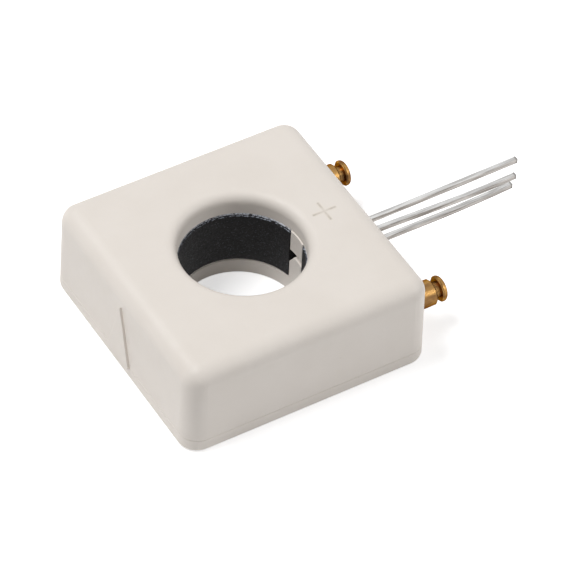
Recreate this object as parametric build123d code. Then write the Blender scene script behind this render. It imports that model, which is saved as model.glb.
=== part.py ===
from build123d import *
from math import cos, radians, sin, sqrt
import os

# Hall effect current sensor: a two-part moulded case round a gapped ring core, all sizes in mm
# +Z is the axis of the conductor hole, +X points along the leads and pins, z = 0 is the underside

# Moulded sensor body: room for the chip's paddle, the bond pads and the leads' necks
lead_pitch = 1.27
lead_thickness = 0.35
lead_width = 0.38
lead_neck = 0.25
bond_pad_length = 0.4
bond_pad_width = 0.7
bond_pad_cover = 0.43
paddle_length = 1.5
paddle_width = 2.0
paddle_cover = 0.6
paddle_to_pads = 0.25
chip_side = 1.2
chip_thickness = 0.25
package_thickness = 1.52
package_chamfer = 0.35
package_length = paddle_cover + paddle_length + paddle_to_pads + bond_pad_length + lead_neck
package_height = 2 * lead_pitch + bond_pad_width + 2 * bond_pad_cover

# Conductor hole: the cover's rounded rim stands back from it a little
bore_radius = 4.5
rim_setback = 0.08
rim_radius = 0.8
mouth_chamfer = 0.05
rim_bore_radius = bore_radius + rim_setback

# Ring core: its gap takes the sensor body, behind tabs that close the gap at the bore
package_side_clearance = 0.1
package_end_clearance = 0.15
tab_depth = 0.5
lead_room = 0.5
core_edge_chamfer = 0.05
core_gap = package_thickness + 2 * package_side_clearance
core_height = package_height + 2 * package_end_clearance
package_front = bore_radius + tab_depth
package_back = package_front + package_length
core_outer_radius = package_back + lead_room

# Case, built round the core
core_clearance = 0.1
side_wall = 1.2
roof_thickness = 1.2
seam_height = 1.15
seam_edge_break = 0.035
case_draft = 1.3
corner_radius = 1.5
top_edge_radius = 1.3
bottom_edge_radius = 0.4
core_pocket_radius = core_outer_radius + core_clearance
case_face = core_pocket_radius + side_wall
case_side = 2 * case_face

# Heights, from the seat under the core to the two rings above it and the roof
core_seat_height = 0.2
core_seat_chamfer = 0.12
rim_lift = 0.2
core_ring_drop = 0.65
rim_ring_width = 0.85
outer_ring_width = 0.6
core_bottom = seam_height + core_seat_height
core_top = core_bottom + core_height
core_middle = core_bottom + core_height / 2
rim_foot = core_top + rim_lift
roof_underside = core_top + core_ring_drop
case_height = roof_underside + roof_thickness
package_bottom = core_middle - package_height / 2
package_top = core_middle + package_height / 2
top_lead_height = core_middle + lead_pitch
bottom_lead_height = core_middle - lead_pitch

# Tabs in the core's gap, and the slit between them
tab_clearance = 0.05
tab_edge_break = 0.05
slit_height = 0.4
slit_rise = 0.33
lower_tab_chamfer_width = 0.54
lower_tab_chamfer_drop = 0.8
support_clearance = 0.1
tab_width = core_gap - 2 * tab_clearance
support_width = core_gap - 2 * support_clearance

# Slot for the leads in the right wall, closed by the lid's tongue below and by a resin seal
slot_side_clearance = 0.125
slot_top_clearance = 0.1
tongue_clearance = 0.05
seal_recess = 0.15
seal_depth = 0.7
slot_width = lead_thickness + 2 * slot_side_clearance
slot_top = top_lead_height + lead_width / 2 + slot_top_clearance
tongue_top = bottom_lead_height - lead_width / 2 - tongue_clearance

# Left corner spaces, and the round pegs of the lid that fit them
corner_wall = 0.9
corner_roof = 1.4
corner_space_side = 3.9
corner_space_rounding = 0.6
inner_wall = 0.8
peg_clearance = 0.1
peg_height = 1.5
peg_tip_chamfer = 0.25
diagonal = sqrt(2)
corner_reach = case_face - corner_wall
inner_wall_radius = core_pocket_radius + inner_wall
peg_room = diagonal * (corner_reach - peg_clearance) - inner_wall_radius - peg_clearance
peg_radius = peg_room / (1 + diagonal)
peg_place = corner_reach - peg_clearance - peg_radius

# Free part of each lead: reach beyond the case, the rise at its bend and at its end
supply_reach = 13.15
supply_bend_rise = 0.06
supply_end_rise = 0.17
ground_reach = 13.2
ground_bend_rise = -0.12
ground_end_rise = -0.21
output_reach = 12.95
output_bend_rise = -0.03
output_end_rise = 0.23

# Where along its reach each lead bends, as a share
supply_bend_place = 0.5
ground_bend_place = 0.28
output_bend_place = 0.4

# Mounting pins: a grooved root in the case, then shank, neck and head beyond it
pin_from_side = 3.225
pin_above_seam = 1.72
pin_radius = 0.975
pin_root_radius = 0.8
pin_depth_in_case = 2.75
pin_shank_reach = 1.95
pin_neck_radius = 0.6
pin_neck_length = 0.45
pin_head_length = 0.42
pin_end_rounding = 0.25
pin_edge_break = 0.1
grip_groove_count = 2
grip_groove_width = 0.4
grip_groove_depth = 0.15
grip_groove_spacing = 0.6
pin_offset = case_face - pin_from_side

# Direction mark on the cover's left side
mark_above_seam = 0.05
mark_to_top_rounding = 0.3
mark_half_width = 1.46
mark_relief = 0.18
mark_edge_rounding = 0.06

# How far cutting shapes run past what they cut, and how deep joined shapes reach into each other
spare = 2.0
root = 0.4


def cylinder_between(radius, bottom, top, x=0.0, y=0.0):
    return Pos(x, y, bottom) * extrude(Circle(radius), amount=top - bottom)


def ring_between(inner_radius, outer_radius, bottom, top):
    hole = cylinder_between(inner_radius, bottom - spare, top + spare)
    return cylinder_between(outer_radius, bottom, top) - hole


def box_between(x_range, y_range, z_range):
    ranges = (x_range, y_range, z_range)
    lengths = [high - low for low, high in ranges]
    middles = [(high + low) / 2 for low, high in ranges]
    return Pos(*middles) * Box(*lengths)


def across(width):
    return (-width / 2, width / 2)


def bore_space(radius):
    return cylinder_between(radius, -spare, case_height + spare)


# Everything above or below the seam, wide enough to part the whole case there
def above_seam():
    return box_between(across(2 * case_side), across(2 * case_side), (seam_height, 2 * case_height))


def below_seam():
    return box_between(across(2 * case_side), across(2 * case_side), (-case_height, seam_height))


# Whole outer block before it is parted at the seam, solid where the conductor will pass
def case_block():
    outline = RectangleRounded(case_side, case_side, corner_radius)
    block = extrude(outline, amount=case_height, taper=case_draft)
    top_edges = block.faces().sort_by(Axis.Z)[-1].edges()
    block = fillet(top_edges, top_edge_radius)
    bottom_edges = block.faces().sort_by(Axis.Z)[0].edges()
    return fillet(bottom_edges, bottom_edge_radius)


# Raised triangle on the sloping left side, tip towards the top
def direction_mark():
    slope = radians(case_draft)
    left_side = Plane(
        origin=(-case_face, 0, 0),
        x_dir=(0, -1, 0),
        z_dir=(-cos(slope), 0, sin(slope)),
    )
    foot = (seam_height + mark_above_seam) / cos(slope)
    tip = (case_height - top_edge_radius - mark_to_top_rounding) / cos(slope)
    corners = [(-mark_half_width, foot), (mark_half_width, foot), (0, tip)]
    triangle = left_side * make_face(Polyline(*corners, close=True))
    raised = extrude(triangle, amount=mark_relief)
    raised = fillet(raised.faces().sort_by(Axis.X)[0].edges(), mark_edge_rounding)
    return raised + extrude(triangle, amount=-root)


# Block with the given outline across the gap, its round front flush with the core's inner wall
def gap_tab(outline):
    start = Plane(origin=(bore_radius - spare, 0, 0), x_dir=(0, 1, 0), z_dir=(1, 0, 0))
    profile = start * make_face(Polyline(*outline, close=True))
    tab = extrude(profile, amount=spare + tab_depth) - bore_space(bore_radius)
    front = tab.faces().sort_by(Axis.X)[0]
    return chamfer(front.edges(), tab_edge_break)


# Square space in a left corner, outside the round wall that holds the core
def corner_space(side):
    middle = corner_reach - corner_space_side / 2
    outline = Pos(-middle, side * middle) * Rectangle(corner_space_side, corner_space_side)
    corner = outline.vertices().sort_by_distance((-corner_reach, side * corner_reach, 0))[0]
    outline = fillet(corner, corner_space_rounding)
    space = extrude(outline, amount=case_height - corner_roof)
    return space - cylinder_between(inner_wall_radius, -spare, case_height)


# Full-width edges of a turned pin at the given places along X
def full_width_edges(pin, places):
    circles = pin.edges().filter_by(GeomType.CIRCLE)
    full = [edge for edge in circles if abs(edge.radius - pin_radius) < pin_edge_break / 2]
    return [edge for edge in full for x in places if abs(edge.center().X - x) < pin_edge_break / 2]


# Turned brass pin along +X: its root grips the moulding, its shoulder stands on the case's side
def mounting_pin(y):
    inner_end = case_face - pin_depth_in_case
    shank_end = case_face + pin_shank_reach
    head_start = shank_end + pin_neck_length
    pin_end = head_start + pin_head_length
    groove_radius = pin_root_radius - grip_groove_depth
    outline = [(inner_end, 0), (inner_end, pin_root_radius)]
    for index in range(grip_groove_count):
        travel = grip_groove_spacing + index * (grip_groove_width + grip_groove_spacing)
        start = inner_end + travel
        end = start + grip_groove_width
        outline += [(start, pin_root_radius), (start, groove_radius)]
        outline += [(end, groove_radius), (end, pin_root_radius)]
    outline += [(case_face, pin_root_radius), (case_face, pin_radius)]
    outline += [(shank_end, pin_radius), (shank_end, pin_neck_radius)]
    outline += [(head_start, pin_neck_radius), (head_start, pin_radius)]
    outline += [(pin_end, pin_radius), (pin_end, 0)]
    pin = revolve(make_face(Polyline(*outline, close=True)), Axis.X)
    pin = fillet(full_width_edges(pin, (pin_end,)), pin_end_rounding)
    pin = chamfer(full_width_edges(pin, (shank_end, head_start)), pin_edge_break)
    return Pos(0, y, seam_height + pin_above_seam) * pin


# Cover: top, walls, rim of the hole, upper tab, stop over the sensor, seats for the pins
def case_shell(pins):
    cover = case_block() & above_seam()
    cover = chamfer(cover.faces().sort_by(Axis.Z)[0].edges(), seam_edge_break)
    cover -= bore_space(rim_bore_radius)
    rim_edges = cover.faces().sort_by(Axis.Z)[-1].inner_wires()[0].edges()
    cover = fillet(rim_edges, rim_radius)
    cover -= cylinder_between(core_pocket_radius, seam_height - spare, core_top)
    rim_ring = rim_bore_radius + rim_ring_width
    outer_ring = core_pocket_radius - outer_ring_width
    cover -= cylinder_between(rim_ring, seam_height - spare, rim_foot)
    cover -= ring_between(rim_ring, outer_ring, core_top, roof_underside)
    for side in (-1, 1):
        cover -= corner_space(side)
    slot_heights = (seam_height - spare, slot_top)
    cover -= box_between((package_back, case_side), across(slot_width), slot_heights)
    tab_bottom = core_middle + slit_rise + slit_height / 2
    upper_outline = [
        (-tab_width / 2, tab_bottom),
        (tab_width / 2, tab_bottom),
        (tab_width / 2, rim_foot),
        (-tab_width / 2, rim_foot),
    ]
    cover += gap_tab(upper_outline)
    stop_length = (package_front, core_pocket_radius + root)
    stop_heights = (package_top, roof_underside + root)
    cover += box_between(stop_length, across(support_width), stop_heights)
    cover += direction_mark()
    for pin in pins:
        cover -= pin
    return cover


# Lid: bottom, raised seat for the core, lower tab, rest under the sensor, tongue, pegs
def base_plate():
    block = case_block()
    plate = (block & below_seam()) - bore_space(bore_radius)
    mouth_edges = plate.faces().sort_by(Axis.Z)[0].inner_wires()[0].edges()
    plate = chamfer(mouth_edges, mouth_chamfer)
    seat = ring_between(bore_radius, core_outer_radius, seam_height, core_bottom)
    seat_edges = seat.faces().sort_by(Axis.Z)[-1].inner_wires()[0].edges()
    plate += chamfer(seat_edges, core_seat_chamfer)
    tab_top = core_middle + slit_rise - slit_height / 2
    lower_outline = [
        (-tab_width / 2, seam_height),
        (tab_width / 2, seam_height),
        (tab_width / 2, tab_top - lower_tab_chamfer_drop),
        (tab_width / 2 - lower_tab_chamfer_width, tab_top),
        (-tab_width / 2, tab_top),
    ]
    plate += gap_tab(lower_outline)
    rest_heights = (seam_height, package_bottom)
    plate += box_between((package_front, package_back), across(support_width), rest_heights)
    tongue_width = slot_width - 2 * tongue_clearance
    tongue_length = (core_pocket_radius, case_side)
    tongue = box_between(tongue_length, across(tongue_width), (seam_height, tongue_top))
    plate += tongue & block
    peg_top = seam_height + peg_height
    for side in (-1, 1):
        peg = cylinder_between(peg_radius, seam_height, peg_top, -peg_place, side * peg_place)
        tip_edges = peg.faces().sort_by(Axis.Z)[-1].edges()
        plate += chamfer(tip_edges, peg_tip_chamfer)
    return plate


# Pressed ring core with chamfered edges and one gap sawn through at +X
def ring_core():
    core = ring_between(bore_radius, core_outer_radius, core_bottom, core_top)
    core = chamfer(core.edges().filter_by(GeomType.CIRCLE), core_edge_chamfer)
    gap_heights = (core_bottom - spare, core_top + spare)
    return core - box_between((0, case_side), across(core_gap), gap_heights)


# Flat strip: straight through the case wall, then on through one slight bend to the free end
def lead_strip(height, reach, bend_place, bend_rise, end_rise):
    middle_line = [
        (package_back, height),
        (case_face, height),
        (case_face + bend_place * reach, height + bend_rise),
        (case_face + reach, height + end_rise),
    ]
    half = lead_width / 2
    upper = [(x, z + half) for x, z in middle_line]
    lower = [(x, z - half) for x, z in middle_line]
    inner_edge = Line(upper[0], lower[0])
    free_edge = Line(upper[-1], lower[-1])
    side_view = make_face([Spline(*upper), free_edge, Spline(*lower), inner_edge])
    strip = extrude(Plane.XZ * side_view, amount=lead_thickness / 2, both=True)
    neck_range = (package_back - lead_neck, package_back)
    neck = box_between(neck_range, across(lead_thickness), (height - half, height + half))
    return strip + neck


# Outer lead, with a widened pad inside the sensor body that takes a bond wire
def outer_lead(height, reach, bend_place, bend_rise, end_rise):
    pad_back = package_back - lead_neck
    pad_range = (pad_back - bond_pad_length, pad_back)
    pad_heights = (height - bond_pad_width / 2, height + bond_pad_width / 2)
    pad = box_between(pad_range, across(lead_thickness), pad_heights)
    return lead_strip(height, reach, bend_place, bend_rise, end_rise) + pad


def supply_lead():
    bend = (supply_bend_place, supply_bend_rise)
    return outer_lead(top_lead_height, supply_reach, *bend, supply_end_rise)


def output_lead():
    bend = (output_bend_place, output_bend_rise)
    return outer_lead(bottom_lead_height, output_reach, *bend, output_end_rise)


# Start and end of the chip's paddle along X, just short of the two bond pads
def paddle_range():
    paddle_front = package_front + paddle_cover
    return (paddle_front, paddle_front + paddle_length)


# Middle lead, with the paddle that carries the chip
def ground_lead():
    half = lead_width / 2
    stem_range = (paddle_range()[1], package_back - lead_neck)
    stem_heights = (core_middle - half, core_middle + half)
    stem = box_between(stem_range, across(lead_thickness), stem_heights)
    paddle_heights = (core_middle - paddle_width / 2, core_middle + paddle_width / 2)
    paddle = box_between(paddle_range(), across(lead_thickness), paddle_heights)
    bend = (ground_bend_place, ground_bend_rise)
    strip = lead_strip(core_middle, ground_reach, *bend, ground_end_rise)
    return strip + stem + paddle


# Chip flat on one side of the paddle
def hall_chip():
    middle_x = sum(paddle_range()) / 2
    middle_y = (lead_thickness + chip_thickness) / 2
    return Pos(middle_x, middle_y, core_middle) * Box(chip_side, chip_thickness, chip_side)


# Moulded sensor body, closed round its leads, paddle and chip
def hall_package(inserts):
    x_range = (package_front, package_back)
    body = box_between(x_range, across(package_thickness), (package_bottom, package_top))
    long_edges = body.edges().filter_by(Axis.X)
    chip_side_edges = [edge for edge in long_edges if edge.center().Y > 0]
    body = chamfer(chip_side_edges, package_chamfer)
    for insert in inserts:
        body -= insert
    return body


# Resin that fills the slot round the leads, set back a little from the case's side
def lead_seal(leads):
    outer = case_face - seal_recess
    seal = box_between((outer - seal_depth, outer), across(slot_width), (tongue_top, slot_top))
    for lead in leads:
        seal -= lead
    return seal


def build_all():
    leads = {
        "lead_supply": supply_lead(),
        "lead_ground": ground_lead(),
        "lead_output": output_lead(),
    }
    pins = {
        "mounting_pin_front": mounting_pin(-pin_offset),
        "mounting_pin_back": mounting_pin(pin_offset),
    }
    chip = hall_chip()
    pieces = {
        "case_shell": case_shell(list(pins.values())),
        "base_plate": base_plate(),
        "ring_core": ring_core(),
        "hall_package": hall_package(list(leads.values()) + [chip]),
        "hall_chip": chip,
        "lead_seal": lead_seal(list(leads.values())),
    }
    pieces.update(leads)
    pieces.update(pins)
    return pieces


os.makedirs("parts", exist_ok=True)
for name, piece in build_all().items():
    export_step(piece, f"parts/{name}.step")
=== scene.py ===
# %% [markdown]
# # A small current sensor, dressed for its portrait
#
# The solids of the sensor come from its frame: a moulded case in two parts, a ring core, a tiny sensor
# body with three leads, and two brass pins. Their shapes are right already, so this lesson is about
# finish: how moulded plastic, pressed ferrite, tinned strip and turned brass differ, and how to say so
# with nodes. Everything is in metres, with +X along the leads and +Z along the hole for the conductor.

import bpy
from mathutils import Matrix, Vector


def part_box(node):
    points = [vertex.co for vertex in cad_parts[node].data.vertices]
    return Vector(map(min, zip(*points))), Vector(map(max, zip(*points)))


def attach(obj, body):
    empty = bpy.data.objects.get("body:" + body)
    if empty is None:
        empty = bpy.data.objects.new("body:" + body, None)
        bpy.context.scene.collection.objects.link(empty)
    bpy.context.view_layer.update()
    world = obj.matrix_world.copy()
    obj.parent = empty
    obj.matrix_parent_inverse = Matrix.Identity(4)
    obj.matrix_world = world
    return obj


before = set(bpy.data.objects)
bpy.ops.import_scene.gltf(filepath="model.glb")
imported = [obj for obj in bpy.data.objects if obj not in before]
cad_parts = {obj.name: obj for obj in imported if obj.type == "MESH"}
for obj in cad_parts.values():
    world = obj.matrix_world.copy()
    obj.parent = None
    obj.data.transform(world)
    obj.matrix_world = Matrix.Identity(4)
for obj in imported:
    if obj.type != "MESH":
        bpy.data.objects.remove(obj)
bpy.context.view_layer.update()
print("CAD nodes:", sorted(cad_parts))

# %% [markdown]
# ## Millimetres
#
# The object is hardly wider than a sugar lump, so the sizes below are written in millimetres and turned
# into metres where Blender needs them. Where a finish needs to know how high or how far a piece reaches,
# it asks the frame. The number could be typed in, but then it would be wrong as soon as the solid
# changed.

# %% Millimetres and boxes
import math

import bmesh
import bpy
from mathutils import Matrix, Vector

mm = 0.001


def box_mm(node):
    low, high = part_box(node)
    return low / mm, high / mm


shell_low, shell_high = box_mm("case_shell")
print(f"the cover reaches from {shell_low.z:.2f} to {shell_high.z:.2f} mm above the table")

# %% [markdown]
# ## The camera first
#
# A long lens far away keeps the sides of the case nearly parallel, as a catalogue photographer would. The
# camera could be given a place and three angles, but those say little to a reader. Here it is placed by
# turning a pole about the point it aims at: azimuth round the object, elevation above the table, and a
# small roll. One matrix product does it, and reads in the order of the moves.

# %% Camera
camera_aim = Vector((4.506, 0.856, 0.0)) * mm
camera_azimuth = math.radians(-33.054)
camera_elevation = math.radians(46.438)
camera_roll = math.radians(3.2626)
camera_distance = 297.465 * mm
camera_lens = 259.761
upright = math.radians(90)
nearest_share = 0.1
farthest_share = 20

bpy.ops.object.select_all(action="DESELECT")
bpy.ops.object.camera_add()
camera = bpy.context.object
camera.name = "portrait_camera"
camera.matrix_world = (
    Matrix.Translation(camera_aim)
    @ Matrix.Rotation(camera_azimuth, 4, "Z")
    @ Matrix.Rotation(upright - camera_elevation, 4, "X")
    @ Matrix.Rotation(camera_roll, 4, "Z")
    @ Matrix.Translation((0, 0, camera_distance))
)
camera.data.lens = camera_lens
camera.data.clip_start = camera_distance * nearest_share
camera.data.clip_end = camera_distance * farthest_share
bpy.context.scene.camera = camera
print("camera stands at", [round(value / mm, 1) for value in camera.matrix_world.translation], "mm")

# %% [markdown]
# ## Small helpers for node trees
#
# A finish is a tree of nodes. It could be drawn by hand in the shader editor, but a script can be read
# line by line and run again. Adding nodes one socket at a time makes long scripts, so these helpers add a
# node and feed its sockets in one call: a value that is another node's output becomes a link, and any
# other value is set on the socket itself.

# %% Node helpers
def feed(tree, socket, value):
    if isinstance(value, bpy.types.NodeSocket):
        tree.links.new(value, socket)
    else:
        socket.default_value = value


def add_node(tree, kind, inputs=None, **properties):
    node = tree.nodes.new("ShaderNode" + kind)
    for name, value in properties.items():
        setattr(node, name, value)
    for name, value in (inputs or {}).items():
        feed(tree, node.inputs[name], value)
    return node


def calculate(tree, operation, first, second=0.0):
    return add_node(tree, "Math", {0: first, 1: second}, operation=operation).outputs[0]


print("node helpers: feed, add_node, calculate")

# %% [markdown]
# Two more helpers choose between colours and stretch a value to a new range. Most of a finish is made of
# these: a noise says where, a range says how much, and a mix says what. The mix node has a set of sockets
# for numbers, one for vectors and one for colours, all with the same names, so those for colours are
# picked by their number.

# %% Mixing helpers
mix_factor = 0
mix_first = 6
mix_second = 7
mix_result = 2


def mix_colours(tree, factor, first, second):
    inputs = {mix_factor: factor, mix_first: first, mix_second: second}
    return add_node(tree, "Mix", inputs, data_type="RGBA").outputs[mix_result]


def stretch(tree, value, old_range, new_range=(0.0, 1.0)):
    inputs = {
        "Value": value,
        "From Min": old_range[0],
        "From Max": old_range[1],
        "To Min": new_range[0],
        "To Max": new_range[1],
    }
    return add_node(tree, "MapRange", inputs).outputs["Result"]


print("mixing helpers: mix_colours, stretch")

# %% [markdown]
# Patterns are laid out in the object's own coordinates, so they stay put when the piece turns and have
# the same scale on every piece. The mapping node turns metres into millimetres, and can stretch a pattern
# along one direction, which is how drawn wire gets its streaks. A noise seldom leaves the middle of its
# range, so that middle has a name of its own.

# %% Pattern helpers
noise_span = (0.3, 0.7)


def object_mm(tree, stretch_by=(1, 1, 1)):
    place = add_node(tree, "TexCoord").outputs["Object"]
    scale = [share / mm for share in stretch_by]
    return add_node(tree, "Mapping", {"Vector": place, "Scale": scale}).outputs[0]


def noise(tree, place, per_mm, detail=3.0, roughness=0.55):
    inputs = {"Vector": place, "Scale": per_mm, "Detail": detail, "Roughness": roughness}
    return add_node(tree, "TexNoise", inputs).outputs["Fac"]


def bump(tree, height, depth_mm, normal=None):
    inputs = {"Height": height, "Distance": depth_mm * mm}
    if normal is not None:
        inputs["Normal"] = normal
    return add_node(tree, "Bump", inputs).outputs["Normal"]


print("pattern helpers: object_mm, noise, bump; a noise mostly lies in", noise_span)

# %% [markdown]
# Some marks and stains depend on where they are: how high, how far from an axis, how far from an edge.
# These helpers take a place apart into X, Y and Z, measure a distance across the axis, and let something
# fade out at an edge.

# %% Place helpers
def split(tree, vector):
    return add_node(tree, "SeparateXYZ", {"Vector": vector}).outputs


def length_across(tree, first, second):
    across = add_node(tree, "CombineXYZ", {"X": first, "Y": second}).outputs[0]
    return add_node(tree, "VectorMath", {0: across}, operation="LENGTH").outputs["Value"]


def fade_out(tree, distance, edge, softness):
    return stretch(tree, distance, (edge - softness, edge + softness), (1.0, 0.0))


print("place helpers: split, length_across, fade_out")

# %% [markdown]
# The last two helpers open a new material and put it on pieces. Each finish below starts with the first
# and ends with the second, and builds on the one shader that a new material brings along.

# %% Material helpers
def start_finish(name):
    material = bpy.data.materials.new(name)
    material.use_nodes = True
    tree = material.node_tree
    return material, tree, tree.nodes["Principled BSDF"]


def put_on(material, *node_names):
    for node_name in node_names:
        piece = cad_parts[node_name]
        for slot in piece.material_slots:
            slot.material = material
    print(material.name, "on", ", ".join(node_names))


print("material helpers: start_finish, put_on")

# %% [markdown]
# ## Moulded case plastic
#
# The case is a warm off-white thermoplastic, moulded in a finely blasted tool. It looks plain, and that
# is the trap: one flat colour would look like a computer model. Real moulded plastic has soft clouds of
# tone where it flowed and cooled, a grain finer than a hair that dulls its shine, and a few specks. Each
# is one pattern at its own scale. A texture image could hold them too, but a pattern that is worked out
# in space has no seams and no edge.

# %% Case plastic: clouds of tone
case_plastic, tree, shader = start_finish("case_plastic")
place = object_mm(tree)

cream_light = (0.820, 0.764, 0.706, 1)
cream_deep = (0.795, 0.738, 0.678, 1)
clouds_per_mm = 0.22
cloud_span = (0.35, 0.65)
clouds = noise(tree, place, clouds_per_mm, detail=4.0)
plastic_colour = mix_colours(tree, stretch(tree, clouds, cloud_span), cream_light, cream_deep)
print("clouds about", round(1 / clouds_per_mm, 1), "mm wide")

# %% [markdown]
# ### Shine
#
# The blasted tool leaves the plastic dull, and a little less dull where the melt pressed hardest. One
# number for the roughness would give one even sheen, so a noise moves it within a narrow range.

# %% Case plastic: dull shine
shine_per_mm = 1.6
plastic_roughness = (0.44, 0.6)
plastic_ior = 1.5
shine = noise(tree, place, shine_per_mm)
feed(tree, shader.inputs["Roughness"], stretch(tree, shine, noise_span, plastic_roughness))
shader.inputs["IOR"].default_value = plastic_ior
print("plastic roughness", plastic_roughness)

# %% [markdown]
# ### Specks
#
# A grain of dust or burnt plastic shows here and there in a light moulding. Specks could be painted one by
# one. A sparse cell pattern, cut off close to each cell's centre, leaves a few tiny dark specks instead,
# and their number is one value.

# %% Case plastic: specks
specks_per_mm = 0.42
speck_edge = (0.012, 0.03)
speck_strength = 0.55
speck_colour = (0.30, 0.26, 0.21, 1)
cells = add_node(tree, "TexVoronoi", {"Vector": place, "Scale": specks_per_mm}).outputs["Distance"]
speck_share = stretch(tree, cells, speck_edge, (speck_strength, 0.0))
plastic_colour = mix_colours(tree, speck_share, plastic_colour, speck_colour)
print("specks up to", round(2 * speck_edge[1] / specks_per_mm, 2), "mm wide")

# %% [markdown]
# ### The plus mark
#
# A small plus sign stands on top near the leads. It is burnt in by a laser, so it has a colour but almost
# no depth, and cutting it into the mesh would be too much. It is drawn as two soft-edged bars in object
# coordinates, only where the surface is as high as the top. The distance from the centre along X and
# along Y is all that the bars need.

# %% Plus mark: its place
mark_centre = Vector((6.62, -0.01))
mark_arm = Vector((0.95, 0.93))
top_margin = 0.05
axes = split(tree, place)
mark_offset = [
    calculate(tree, "ABSOLUTE", calculate(tree, "SUBTRACT", axes["X"], mark_centre.x)),
    calculate(tree, "ABSOLUTE", calculate(tree, "SUBTRACT", axes["Y"], mark_centre.y)),
]
on_top = calculate(tree, "GREATER_THAN", axes["Z"], shell_high.z - top_margin)
print(f"plus mark {mark_centre.x:.2f} mm along, its arms {mark_arm.x:.2f} and {mark_arm.y:.2f} mm long")


# %% Plus mark: its bars
def bar(along, across, length_half, width_half, softness):
    inside_length = fade_out(tree, along, length_half, softness)
    inside_width = fade_out(tree, across, width_half, softness)
    return calculate(tree, "MULTIPLY", inside_length, inside_width)


def plus(width_half, softness):
    along_x = bar(mark_offset[0], mark_offset[1], mark_arm.x, width_half, softness)
    along_y = bar(mark_offset[1], mark_offset[0], mark_arm.y, width_half, softness)
    return calculate(tree, "MAXIMUM", along_x, along_y)


line_half = 0.075
line_softness = 0.055
scorch_half = 0.12
scorch_softness = 0.11
scorch = plus(scorch_half, scorch_softness)
line = plus(line_half, line_softness)
print("line", 2 * line_half, "mm wide, scorch", 2 * scorch_half, "mm wide")

# %% [markdown]
# ### How strongly the mark is burnt
#
# The beam slows down at each end of a stroke, so the ends are darker than the crossing, and the heat
# leaves a wider, paler scorch beside the line. A noise makes the burn patchy, because the plastic isn't
# the same everywhere.

# %% Plus mark: its burn
stroke_range = (0.2, 0.9)
burn_range = (0.34, 0.72)
patches_per_mm = 2.6
patch_range = (0.55, 1.35)
scorched_colour = (0.80, 0.725, 0.62, 1)
burnt_colour = (0.45, 0.40, 0.345, 1)
from_crossing = calculate(tree, "MAXIMUM", *mark_offset)
burn_share = stretch(tree, from_crossing, stroke_range, burn_range)
burn_patches = stretch(tree, noise(tree, place, patches_per_mm), noise_span, patch_range)
burn_share = calculate(tree, "MULTIPLY", calculate(tree, "MULTIPLY", burn_share, burn_patches), on_top)
for strokes, colour in ((scorch, scorched_colour), (line, burnt_colour)):
    stroke_share = calculate(tree, "MULTIPLY", strokes, burn_share)
    plastic_colour = mix_colours(tree, stroke_share, plastic_colour, colour)
feed(tree, shader.inputs["Base Color"], plastic_colour)
print("the mark is burnt from", burn_range[0], "at the crossing to", burn_range[1], "at its ends")

# %% [markdown]
# ### Grain
#
# The grain could be modelled, but it is a few thousandths of a millimetre deep. It goes in as bump, at
# two scales: the fine blasted texture, and a long, very shallow waviness that breaks up broad highlights.

# %% Case plastic: grain
grain_per_mm = 9.0
grain_depth = 0.006
waves_per_mm = 0.45
wave_depth = 0.03
fine_grain = noise(tree, place, grain_per_mm, detail=2.0)
waviness = noise(tree, place, waves_per_mm, detail=2.0)
grain_normal = bump(tree, fine_grain, grain_depth)
feed(tree, shader.inputs["Normal"], bump(tree, waviness, wave_depth, normal=grain_normal))
put_on(case_plastic, "case_shell", "base_plate")

# %% [markdown]
# ## Pressed ring core
#
# The ring is pressed from magnetic powder and sintered, so it is near black and rough, with fine pores. A
# smooth noise would only cloud it. A cell pattern gives each grain its own tone. The brightest few grains
# are painted lighter and bluish as painted glints, which look the same from every side.

# %% Ferrite: grains
ferrite, tree, shader = start_finish("core_ferrite")
place = object_mm(tree)
grains_per_mm = 14.0
glint_from = 0.90
ferrite_dark = (0.0085, 0.0079, 0.0084, 1)
# Painted glints: the brightest grains are painted this lighter, bluish tone.
painted_glint_tone = (0.032, 0.036, 0.044, 1)
grain_cells = add_node(tree, "TexVoronoi", {"Vector": place, "Scale": grains_per_mm}).outputs["Color"]
grain_tone = add_node(tree, "SeparateColor", {"Color": grain_cells}).outputs["Red"]
painted_glint_share = stretch(tree, grain_tone, (glint_from, 1.0))
ferrite_colour = mix_colours(tree, painted_glint_share, ferrite_dark, painted_glint_tone)
print(f"grains about {1 / grains_per_mm:.2f} mm wide, and one in {1 / (1 - glint_from):.0f} glints")

# %% Ferrite: rough and porous
ferrite_roughness = (0.75, 0.5)
ferrite_specular = 0.22
pores_per_mm = 6.0
pore_depth = 0.03
feed(tree, shader.inputs["Roughness"], stretch(tree, grain_tone, (0.0, 1.0), ferrite_roughness))
shader.inputs["Specular IOR Level"].default_value = ferrite_specular
pores = noise(tree, place, pores_per_mm, detail=4.0)
feed(tree, shader.inputs["Normal"], bump(tree, pores, pore_depth))
print("pores up to", pore_depth, "mm deep")

# %% [markdown]
# ### A painted highlight on the edge
#
# The ring's inner top edge gets a painted highlight: a ragged grey-blue band hardly wider than a hair, so
# it is a colour and no shape. The distance from that edge is found from the height and the radius. A rough
# noise decides how far the band reaches at each place. The painted highlight is stronger towards the ring's
# gap.

# %% Ferrite: distance from the edge
core_bore_radius = 4.5
core_low, core_high = box_mm("ring_core")
axes = split(tree, place)
from_wall = calculate(tree, "SUBTRACT", length_across(tree, axes["X"], axes["Y"]), core_bore_radius)
below_top = calculate(tree, "SUBTRACT", core_high.z, axes["Z"])
from_edge = calculate(tree, "MAXIMUM", from_wall, below_top)
print(f"ring core from {core_low.z:.2f} to {core_high.z:.2f} mm up, bored to radius {core_bore_radius}")


# %% Ferrite: painted highlight on the edge
approach_to_gap = (-core_bore_radius, core_bore_radius * 0.6)


def towards_gap(tree, place, shares):
    return stretch(tree, split(tree, place)["X"], approach_to_gap, shares)


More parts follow.
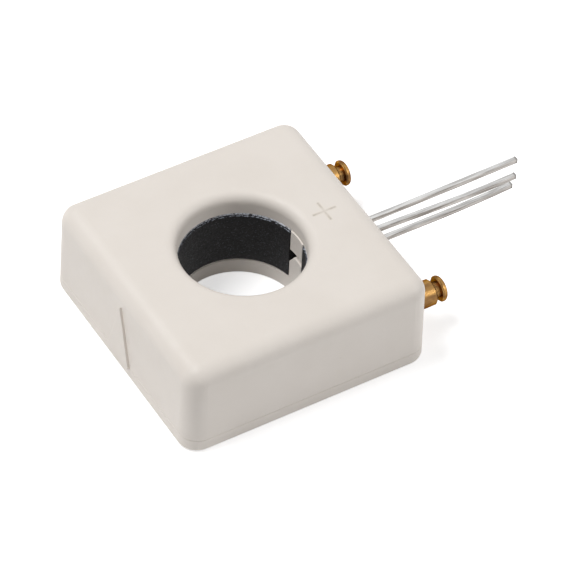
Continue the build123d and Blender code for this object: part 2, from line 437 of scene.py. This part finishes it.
edge_highlight_shares = (0.1, 0.8)
edge_highlights_per_mm = 4.5
edge_highlight_span = (0.42, 0.62)
widest_edge_highlight = 0.12
edge_highlight_softness = 0.05
# Painted highlight along the ring's inner top edge, grey-blue.
edge_highlight_colour = (0.46, 0.50, 0.58, 1)
ragged_edge_highlights = noise(tree, place, edge_highlights_per_mm, detail=6.0, roughness=0.8)
edge_highlight_reach = stretch(tree, ragged_edge_highlights, edge_highlight_span, (0.0, widest_edge_highlight))
past_edge_highlight = calculate(tree, "SUBTRACT", from_edge, edge_highlight_reach)
edge_highlight_share = stretch(tree, past_edge_highlight, (-edge_highlight_softness, 0.0), (1.0, 0.0))
edge_highlight_share = calculate(tree, "MULTIPLY", edge_highlight_share, towards_gap(tree, place, edge_highlight_shares))
feed(tree, shader.inputs["Base Color"], mix_colours(tree, edge_highlight_share, ferrite_colour, edge_highlight_colour))
print("chips reach", widest_edge_highlight, "mm from the edge")
put_on(ferrite, "ring_core")

# %% [markdown]
# ## The bead of adhesive
#
# A hairline gap is left between the ring and the rim of the hole, and a bead of adhesive closes it. From
# above it shows as a thin, ragged, bluish line. A texture on the ring could not fill a gap, so the bead
# is modelled. It starts as a thin torus in the gap, because a torus is already round both ways.

# %% Bead: a ring in the gap
bead_setback = 0.15
bead_thickness = 0.2
bead_segments = 220
bead_sides = 8
bead_radius = core_bore_radius + bead_setback
bead_height = core_high.z + bead_thickness / 2

bpy.ops.object.select_all(action="DESELECT")
bpy.ops.mesh.primitive_torus_add(
    location=(0, 0, bead_height * mm),
    major_radius=bead_radius * mm,
    minor_radius=bead_thickness / 2 * mm,
    major_segments=bead_segments,
    minor_segments=bead_sides,
)
bead = bpy.context.object
bead.name = "adhesive_bead"
bpy.ops.object.transform_apply(location=True, rotation=True, scale=True)
print("bead at", round(bead_height, 2), "mm, with", len(bead.data.polygons), "faces")

# %% [markdown]
# ### Room for the tab
#
# The case's upper tab passes through the gap of the ring, so no adhesive lies there. A boolean could cut
# the bead, but it leaves slivers. Here the faces in front of the tab are picked by their place and
# deleted.

# %% Bead: opening for the tab
opening_margin = 0.15
opening_half = box_mm("hall_package")[1].y + opening_margin

bpy.ops.object.mode_set(mode="EDIT")
bpy.ops.mesh.select_all(action="DESELECT")
bead_mesh = bmesh.from_edit_mesh(bead.data)
for face in bead_mesh.faces:
    middle = face.calc_center_median() / mm
    face.select_set(middle.x > 0 and abs(middle.y) < opening_half)
bmesh.update_edit_mesh(bead.data)
bpy.ops.mesh.delete(type="FACE")
print("bead opened over", round(2 * opening_half, 2), "mm")

# %% [markdown]
# ### Closed ends
#
# The deleted faces leave a hole at each end, and an open mesh has no inside. Filling both holes at once
# could join one end to the other, so the open edges are picked on one side at a time and get one face
# each.

# %% Bead: closed ends
for side in (-1, 1):
    bpy.ops.mesh.select_all(action="DESELECT")
    bead_mesh = bmesh.from_edit_mesh(bead.data)
    for edge in bead_mesh.edges:
        edge.select_set(edge.is_boundary and side * edge.verts[0].co.y > 0)
    bmesh.update_edit_mesh(bead.data)
    bpy.ops.mesh.edge_face_add()
bead_mesh = bmesh.from_edit_mesh(bead.data)
print("open edges left on the bead:", sum(edge.is_boundary for edge in bead_mesh.edges))

# %% [markdown]
# ### An uneven skin
#
# A bead of glue is never even. A displace modifier with a texture could dent it, but the bead is so thin
# that moving each vertex a little at random says the same. The seed is fixed, so that every run makes the
# same bead.

# %% Bead: an uneven skin
bead_unevenness = 0.03
bead_seed = 7
bpy.ops.mesh.select_all(action="SELECT")
bpy.ops.transform.vertex_random(offset=bead_unevenness * mm, seed=bead_seed)
bpy.ops.mesh.normals_make_consistent(inside=False)
bpy.ops.object.mode_set(mode="OBJECT")
bpy.ops.object.shade_smooth()
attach(bead, "root")
print("bead has", len(bead.data.polygons), "faces, moved by up to", bead_unevenness, "mm")

# %% [markdown]
# ### Cloudy adhesive
#
# The adhesive is clear where it lies thin, and milky and faintly blue where it holds air. Real transparency
# would only show the dark ring below, so a dark tone stands for the clear parts, and a rough noise scatters
# the milky crumbs. The crumbs are partly a painted highlight along the rim of the hole, pale enough to show
# in the shaded gap. They are stronger near the ring's gap, as the painted highlight on the ring's edge is.

# %% Bead: cloudy adhesive
adhesive, tree, shader = start_finish("bead_adhesive")
place = object_mm(tree)
crumb_highlight_shares = (0.25, 1.0)
crumbs_per_mm = 4.0
crumb_span = (0.41, 0.56)
adhesive_roughness = (0.2, 0.45)
crumb_depth = 0.02
clear_tone = (0.035, 0.038, 0.046, 1)
# Milky crumbs, partly a painted highlight along the rim of the hole.
milky_highlight_tone = (0.84, 0.88, 0.96, 1)
crumbs = noise(tree, place, crumbs_per_mm, detail=5.0, roughness=0.75)
crumb_highlight_share = stretch(tree, crumbs, crumb_span)
crumb_highlight_share = calculate(tree, "MULTIPLY", crumb_highlight_share, towards_gap(tree, place, crumb_highlight_shares))
feed(tree, shader.inputs["Base Color"], mix_colours(tree, crumb_highlight_share, clear_tone, milky_highlight_tone))
feed(tree, shader.inputs["Roughness"], stretch(tree, crumbs, noise_span, adhesive_roughness))
feed(tree, shader.inputs["Normal"], bump(tree, crumbs, crumb_depth))
bead.data.materials.append(adhesive)
print(adhesive.name, "on", bead.name)

# %% [markdown]
# ## Sensor body
#
# The sensor body is black moulding compound with a faint flow pattern. It hides inside the case, but the
# part can be opened, so it gets its own finish. Plain black would do for a picture of the closed case
# only.

# %% Moulding compound
compound, tree, shader = start_finish("package_black")
place = object_mm(tree)
flow_per_mm = 2.5
compound_tones = ((0.016, 0.016, 0.017, 1), (0.030, 0.029, 0.028, 1))
compound_roughness = (0.45, 0.65)
filler_per_mm = 18.0
filler_depth = 0.004
flow = noise(tree, place, flow_per_mm, detail=4.0)
feed(tree, shader.inputs["Base Color"], mix_colours(tree, flow, *compound_tones))
feed(tree, shader.inputs["Roughness"], stretch(tree, flow, noise_span, compound_roughness))
feed(tree, shader.inputs["Normal"], bump(tree, noise(tree, place, filler_per_mm), filler_depth))
put_on(compound, "hall_package")

# %% [markdown]
# ## Chip
#
# The chip is polished silicon with its circuit on one face. Its lines are far too fine to model, and
# nobody will follow them, so a cell pattern with square cells stands for its fields.

# %% Silicon
silicon, tree, shader = start_finish("chip_silicon")
place = object_mm(tree)
fields_per_mm = 6.0
field_span = (0.0, 0.6)
silicon_tones = ((0.10, 0.11, 0.13, 1), (0.24, 0.21, 0.26, 1))
silicon_roughness = (0.12, 0.3)
silicon_metallic = 0.6
field_depth = 0.002
circuit_cells = {"Vector": place, "Scale": fields_per_mm}
circuit = add_node(tree, "TexVoronoi", circuit_cells, distance="CHEBYCHEV").outputs["Distance"]
feed(tree, shader.inputs["Base Color"], mix_colours(tree, circuit, *silicon_tones))
feed(tree, shader.inputs["Roughness"], stretch(tree, circuit, field_span, silicon_roughness))
shader.inputs["Metallic"].default_value = silicon_metallic
feed(tree, shader.inputs["Normal"], bump(tree, circuit, field_depth))
put_on(silicon, "hall_chip")

# %% [markdown]
# ## Resin
#
# The resin that fills the lead slot is poured by hand: amber-grey, glossy, with cloudy streaks. It could
# be made see-through, but it is full of filler, so a colour that wanders and a low roughness come closer.

# %% Resin
resin, tree, shader = start_finish("seal_resin")
place = object_mm(tree)
clouding_per_mm = 1.8
resin_tones = ((0.64, 0.57, 0.46, 1), (0.50, 0.43, 0.33, 1))
resin_roughness = (0.18, 0.32)
resin_wave_depth = 0.05
clouding = noise(tree, place, clouding_per_mm)
feed(tree, shader.inputs["Base Color"], mix_colours(tree, clouding, *resin_tones))
feed(tree, shader.inputs["Roughness"], stretch(tree, clouding, noise_span, resin_roughness))
feed(tree, shader.inputs["Normal"], bump(tree, clouding, resin_wave_depth))
put_on(resin, "lead_seal")

# %% [markdown]
# ## Tinned leads
#
# The leads are stamped from tinned strip. The rolled faces keep their tin, bright but not a mirror, with
# long streaks from rolling. The stamped flanks are torn metal, rougher and browner, with tin dragged over
# them in long smears. Their much darker tone is partly painted shade on the side faces. The ends were cut
# last, so bare metal shows there. Separate materials for faces, flanks and ends could do it, but one that
# reads the direction of the surface needs no choice of faces. Stretching a noise along X makes the streaks.

# %% Tinned strip: streaks and directions
tin, tree, shader = start_finish("tinned_lead")
streaks_per_mm = 8.0
streak_stretch = (0.05, 1, 1)
streak_span = (0.38, 0.62)
streak = noise(tree, object_mm(tree, stretch_by=streak_stretch), streaks_per_mm)
streak_share = stretch(tree, streak, streak_span)

flank_from = 0.7
cut_from = 0.8
facing = split(tree, add_node(tree, "TexCoord").outputs["Normal"])
on_flank = calculate(tree, "GREATER_THAN", calculate(tree, "ABSOLUTE", facing["Y"]), flank_from)
on_cut = calculate(tree, "GREATER_THAN", facing["X"], cut_from)
print(f"streaks about {1 / streaks_per_mm:.3f} mm wide and {1 / streak_stretch[0]:.0f} times as long")

# %% [markdown]
# ### Rolled tips
#
# The cutter has rolled a little bare metal round the edge of each cut, and it shows as a thin dark line
# at the tip. The three leads end at different places, so each lead's own tip is measured in its mesh, and
# its height tells its line from that of its neighbours.

# %% Tinned strip: rolled tips
rolled_range = (0.17, 0.1)
rolled_strength = 0.6
beside_lead = 0.4
lead_names = ("lead_supply", "lead_ground", "lead_output")
axes = split(tree, object_mm(tree))
for lead_name in lead_names:
    corners = [vertex.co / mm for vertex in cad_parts[lead_name].data.vertices]
    tip = max(corners, key=lambda corner: corner.x)
    rolled_over = [tip.x - reach for reach in rolled_range]
    near_tip = stretch(tree, axes["X"], rolled_over, (0.0, rolled_strength))
    from_lead = calculate(tree, "ABSOLUTE", calculate(tree, "SUBTRACT", axes["Z"], tip.z))
    on_this_lead = calculate(tree, "LESS_THAN", from_lead, beside_lead)
    on_cut = calculate(tree, "MAXIMUM", on_cut, calculate(tree, "MULTIPLY", near_tip, on_this_lead))
    print(lead_name, "was cut at", round(tip.x, 2), "mm along and", round(tip.z, 2), "mm up")

# %% [markdown]
# ### Colour and shine of the strip
#
# Faces and flanks have two tones each, one for the streaks and one between them, and bare metal has its
# own. The flank tones are darker than the face tones, partly as painted shade. The flanks are a little
# rougher too, because a stamped edge scatters the light.

# %% Tinned strip: colour and shine
face_tones = ((0.74, 0.74, 0.73, 1), (0.45, 0.44, 0.43, 1))
# Flank tones: torn metal, darkened partly as painted shade on the side faces.
shaded_flank_tones = ((0.46, 0.435, 0.41, 1), (0.22, 0.20, 0.18, 1))
cut_colour = (0.14, 0.125, 0.115, 1)
face_colour = mix_colours(tree, streak_share, *face_tones)
shaded_flank_colour = mix_colours(tree, streak_share, *shaded_flank_tones)
tin_colour = mix_colours(tree, on_flank, face_colour, shaded_flank_colour)
feed(tree, shader.inputs["Base Color"], mix_colours(tree, on_cut, tin_colour, cut_colour))

face_roughness = (0.24, 0.42)
flank_roughness_added = 0.15
streak_depth = 0.01
tin_roughness = stretch(tree, streak, noise_span, face_roughness)
flank_dullness = calculate(tree, "MULTIPLY", on_flank, flank_roughness_added)
feed(tree, shader.inputs["Roughness"], calculate(tree, "ADD", tin_roughness, flank_dullness))
shader.inputs["Metallic"].default_value = 1.0
feed(tree, shader.inputs["Normal"], bump(tree, streak, streak_depth))
put_on(tin, *lead_names)

# %% [markdown]
# ## Turned brass pins
#
# The pins come off a lathe, so they carry rings round their axis, and their bright skin has begun to
# brown where fingers and air reach it. The rings could be cut into the mesh, but they are finer than its
# facets, so they are a band pattern along X. The tarnish is a noise that takes the colour from gold
# towards brown and dulls it at the same time, as a real oxide film does. It is stretched along the pin,
# because pins are pushed and wiped lengthwise.

# %% Brass: turning rings and tarnish
brass, tree, shader = start_finish("pin_brass")
place = object_mm(tree)
rings_per_mm = 3.2
ring_wander = 0.6
ring_input = {"Vector": place, "Scale": rings_per_mm, "Distortion": ring_wander, "Detail": 2.0}
rings = add_node(tree, "TexWave", ring_input, bands_direction="X").outputs["Fac"]

tarnish_per_mm = 1.5
tarnish_stretch = (0.35, 1, 1)
tarnish_span = (0.38, 0.62)
most_tarnish = 0.9
brass_bright = (0.46, 0.262, 0.086, 1)
brass_brown = (0.195, 0.105, 0.045, 1)
tarnish = noise(tree, object_mm(tree, stretch_by=tarnish_stretch), tarnish_per_mm)
tarnish_share = stretch(tree, tarnish, tarnish_span, (0.0, most_tarnish))
brass_colour = mix_colours(tree, tarnish_share, brass_bright, brass_brown)
print("tarnish covers the brass up to a share of", most_tarnish)

# %% [markdown]
# ### Painted shade in the neck
#
# The neck between the shank and the head is painted darker as painted shade, the more so the deeper it
# lies. It could be painted on the neck's faces, but the distance from the pin's own axis finds the neck by
# itself, whichever of the two pins it is. The flat end has the same distances, so it is left out.

# %% Brass: neck
pin_low, pin_high = box_mm("mounting_pin_front")
pin_axis_side = abs(pin_low.y + pin_high.y) / 2
pin_axis_height = (pin_low.z + pin_high.z) / 2
pin_radius = (pin_high.z - pin_low.z) / 2
neck_shares = (0.62, 0.92)
neck_range = [pin_radius * share for share in neck_shares]
end_depth = 0.2
most_neck_shade = 0.28
# Painted shade: a dark brown that deepens the neck.
neck_shade_colour = (0.080, 0.038, 0.016, 1)
axes = split(tree, place)
aside = calculate(tree, "SUBTRACT", calculate(tree, "ABSOLUTE", axes["Y"]), pin_axis_side)
above = calculate(tree, "SUBTRACT", axes["Z"], pin_axis_height)
deep_in = stretch(tree, length_across(tree, aside, above), neck_range, (most_neck_shade, 0.0))
on_pin_end = calculate(tree, "GREATER_THAN", axes["X"], pin_high.x - end_depth)
neck_shade_share = calculate(tree, "MULTIPLY", deep_in, calculate(tree, "SUBTRACT", 1.0, on_pin_end))
brass_colour = mix_colours(tree, neck_shade_share, brass_colour, neck_shade_colour)
print("pin axis at", round(pin_axis_side, 3), "mm aside and", round(pin_axis_height, 3), "mm up")

# %% [markdown]
# ### Shine of the brass
#
# Brass is a metal through and through, so its colour is the colour of what it reflects. The tint makes
# the rim of each round part a deeper gold than a plain metal would have there.

# %% Brass: shine
brass_roughness = (0.24, 0.4)
brass_edge_tint = (0.36, 0.20, 0.09, 1)
ring_depth = 0.005
feed(tree, shader.inputs["Base Color"], brass_colour)
feed(tree, shader.inputs["Roughness"], stretch(tree, tarnish, noise_span, brass_roughness))
shader.inputs["Specular Tint"].default_value = brass_edge_tint
shader.inputs["Metallic"].default_value = 1.0
feed(tree, shader.inputs["Normal"], bump(tree, rings, ring_depth))
put_on(brass, "mounting_pin_front", "mounting_pin_back")

# %% [markdown]
# ## Table and background
#
# The sensor lies on a plain pale table. A cut-out on white could be had with no table at all, but then
# the object would float. The table is an ordinary matte surface, so it takes the object's shadow and
# lights the case from below. For rays that come straight from the camera, or by way of a mirror, a little
# glow is added, which lifts the lit table to white and leaves the shadow in place. The table lies a hair
# below the case, because two surfaces at exactly the same height fight for the same pixels.

# %% Table: which rays see it
def seen_share(tree):
    rays = add_node(tree, "LightPath").outputs
    seen = calculate(tree, "MAXIMUM", rays["Is Camera Ray"], rays["Is Glossy Ray"])
    return calculate(tree, "MAXIMUM", seen, rays["Is Transmission Ray"])


white = (1, 1, 1, 1)
print("the background shows", white[:3], "to the camera, in a mirror and through glass")

# %% Table
table_side = 4.0
table_drop = 0.02 * mm
bpy.ops.object.select_all(action="DESELECT")
bpy.ops.mesh.primitive_plane_add(size=table_side, location=(0, 0, -table_drop))
table = bpy.context.object
table.name = "table"

table_finish, tree, shader = start_finish("table_finish")
table_white = (0.86, 0.86, 0.865, 1)
table_roughness = 0.9
table_specular = 0.1
table_glow = 0.56
shader.inputs["Base Color"].default_value = table_white
shader.inputs["Roughness"].default_value = table_roughness
shader.inputs["Specular IOR Level"].default_value = table_specular
shader.inputs["Emission Color"].default_value = white
glow_strength = calculate(tree, "MULTIPLY", seen_share(tree), table_glow)
feed(tree, shader.inputs["Emission Strength"], glow_strength)
table.data.materials.append(table_finish)
print("table stands at z =", round(table.location.z / mm, 3), "mm")

# %% [markdown]
# ## The air
#
# Beyond the table there is only air. It is white to a ray that sees it, as the table is, and gives a
# fifth of that to every surface, like the walls of a studio. More would fill the shadows and make the
# block flat.

# %% Air
air_light = 0.2
world = bpy.data.worlds.new("studio_air")
bpy.context.scene.world = world
world.use_nodes = True
tree = world.node_tree
air = tree.nodes["Background"]
air.inputs["Color"].default_value = white
feed(tree, air.inputs["Strength"], stretch(tree, seen_share(tree), (0.0, 1.0), (air_light, 1.0)))
print("the air gives", air_light, "of full light to the surfaces")

# %% [markdown]
# ## Studio lamps
#
# A big soft panel stands high on the left and a weaker one low on the right, as on a catalogue set.
# Little light comes from the camera's side, so a wall that faces the camera stays darker than one that
# faces a panel. That is what makes the block read as a block and what shades the hole. Lamps could be
# placed by coordinates, but angles say more: how far round the table from the camera, and how high. Metal
# shows what it reflects, and a white room makes it flat, so one small bright spot draws a highlight along
# the pins.

# %% Lamps
panel_distance = 470
panel_size = 260
spot_size = 45


def soft_panel(name, turn, height, watts, size=panel_size):
    round_table = camera_azimuth + math.radians(turn)
    up = math.radians(height)
    outwards_x = math.sin(round_table) * math.cos(up)
    outwards_y = -math.cos(round_table) * math.cos(up)
    towards = Vector((outwards_x, outwards_y, math.sin(up)))
    bpy.ops.object.select_all(action="DESELECT")
    bpy.ops.object.light_add(type="AREA", location=towards * panel_distance * mm)
    lamp = bpy.context.object
    lamp.name = name
    lamp.rotation_mode = "QUATERNION"
    lamp.rotation_quaternion = towards.to_track_quat("Z", "Y")
    lamp.data.shape = "DISK"
    lamp.data.size = size * mm
    lamp.data.energy = watts
    print(name, "gives", watts, "W from", turn, "degrees round and", height, "degrees up")


soft_panel("key_panel", turn=-90, height=62, watts=1.58)
soft_panel("fill_panel", turn=90, height=28, watts=0.62)
soft_panel("metal_spot", turn=60, height=40, watts=0.05, size=spot_size)

# %% [markdown]
# ## View settings
#
# The picture is shown as it is lit, with no film look, because a film look would grey the white background.

# %% Finish
bpy.context.scene.view_settings.view_transform = "Standard"
